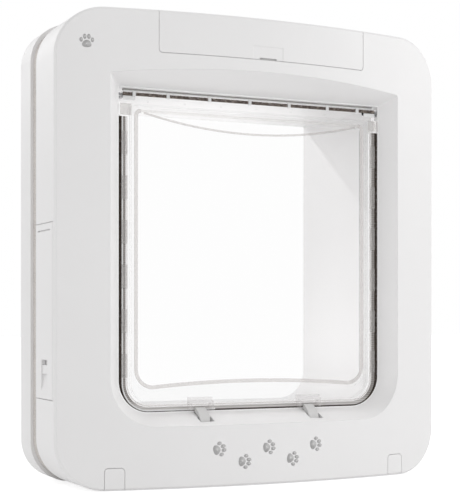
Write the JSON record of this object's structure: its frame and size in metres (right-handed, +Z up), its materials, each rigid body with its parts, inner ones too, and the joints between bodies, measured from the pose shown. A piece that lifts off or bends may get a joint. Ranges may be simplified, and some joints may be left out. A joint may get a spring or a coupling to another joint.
{
  "type": "electronic cat flap",
  "caption": "White electronic cat flap with a crowned front frame, bevelled opening, clear top-hung flap with a dark brush edge, curved lock claws and a tunnel behind.",
  "frame": {"origin": "middle of the underside, centred on width and depth", "axes": "+X to the right seen from the room, +Y through the door towards the garden, +Z up"},
  "size_m": [0.2624, 0.125, 0.2856],
  "materials": {
    "white_case": "fine satin white moulding",
    "grey_latch": "light grey moulding",
    "clear_flap": "clear, slightly grey polycarbonate",
    "dark_brush": "dense dark brown pile",
    "grey_foam": "closed-cell grey foam",
    "steel": "zinc-plated steel",
    "spring_contact": "nickel-plated strip",
    "cell_jacket": "printed dark jacket over a steel can",
    "green_board": "green solder mask",
    "coil_wire": "enamelled copper winding under lacquer",
    "button_cap": "mid grey moulding",
    "lamp": "red translucent lens",
    "motor_can": "drawn steel can",
    "gear_plastic": "natural acetal"
  },
  "bodies": {
    "base": {"front_fascia": "white_case", "rear_housing": "white_case", "tunnel_liner": "white_case", "outdoor_frame": "white_case", "foam_gasket": "grey_foam", "control_board": "green_board", "indicator_light": "lamp", "antenna_coil": "coil_wire", "lock_motor": "motor_can", "battery_left_lower": "cell_jacket", "battery_left_upper": "cell_jacket", "battery_right_lower": "cell_jacket", "battery_right_upper": "cell_jacket", "contact_spring_left": "spring_contact", "contact_spring_right": "spring_contact", "contact_plate_left": "spring_contact", "contact_plate_right": "spring_contact", "fixing_screws": "steel"},
    "flap": {"flap_panel": "clear_flap", "edge_brush": "dark_brush", "top_brush": "dark_brush", "hinge_pin_left": "steel", "hinge_pin_right": "steel", "flap_keeper_left": "clear_flap", "flap_keeper_right": "clear_flap"},
    "latches": {"latch_left": "grey_latch", "latch_right": "grey_latch", "latch_shaft": "steel", "latch_gear": "gear_plastic"},
    "pinion": {"drive_pinion": "gear_plastic", "motor_shaft": "steel"},
    "button_cover": {"top_cover": "white_case"},
    "push_button": {"learn_button": "button_cap"},
    "screw_cap_left": {"screw_cover_left": "white_case"},
    "screw_cap_right": {"screw_cover_right": "white_case"},
    "battery_door_left": {"battery_cover_left": "white_case"},
    "battery_door_right": {"battery_cover_right": "white_case"},
    "door_catch_left": {"cover_catch_left": "white_case"},
    "door_catch_right": {"cover_catch_right": "white_case"}
  },
  "joints": [
    {"name": "flap_swing", "type": "hinge", "parent": "base", "child": "flap", "pos_m": [0, -0.0395, 0.236], "axis": [1, 0, 0], "range_deg": [0, 85]},
    {"name": "latch_turn", "type": "hinge", "parent": "base", "child": "latches", "pos_m": [0, -0.037, 0.0315], "axis": [1, 0, 0], "range_deg": [0, 55]},
    {"name": "pinion_turn", "type": "hinge", "parent": "base", "child": "pinion", "pos_m": [0.005, -0.037, 0.01875], "axis": [1, 0, 0], "range_deg": [-200, 0]},
    {"name": "button_cover_pull", "type": "slide", "parent": "base", "child": "button_cover", "axis": [0, -1, 0], "range_m": [0, 0.03]},
    {"name": "button_press", "type": "slide", "parent": "base", "child": "push_button", "axis": [0, 1, 0], "range_m": [0, 0.0012], "stiffness_N_per_m": 300},
    {"name": "screw_cap_left_pull", "type": "slide", "parent": "base", "child": "screw_cap_left", "axis": [0, -1, 0], "range_m": [0, 0.02]},
    {"name": "screw_cap_right_pull", "type": "slide", "parent": "base", "child": "screw_cap_right", "axis": [0, -1, 0], "range_m": [0, 0.02]},
    {"name": "battery_door_left_pull", "type": "slide", "parent": "base", "child": "battery_door_left", "axis": [-1, 0, 0], "range_m": [0, 0.04]},
    {"name": "battery_door_right_pull", "type": "slide", "parent": "base", "child": "battery_door_right", "axis": [1, 0, 0], "range_m": [0, 0.04]},
    {"name": "door_catch_left_lift", "type": "slide", "parent": "battery_door_left", "child": "door_catch_left", "axis": [0, 0, 1], "range_m": [0, 0.0028], "stiffness_N_per_m": 200},
    {"name": "door_catch_right_lift", "type": "slide", "parent": "battery_door_right", "child": "door_catch_right", "axis": [0, 0, 1], "range_m": [0, 0.0028], "stiffness_N_per_m": 200}
  ],
  "couplings": [
    {"joint": "pinion_turn", "follows": "latch_turn", "ratio": -2.5}
  ]
}
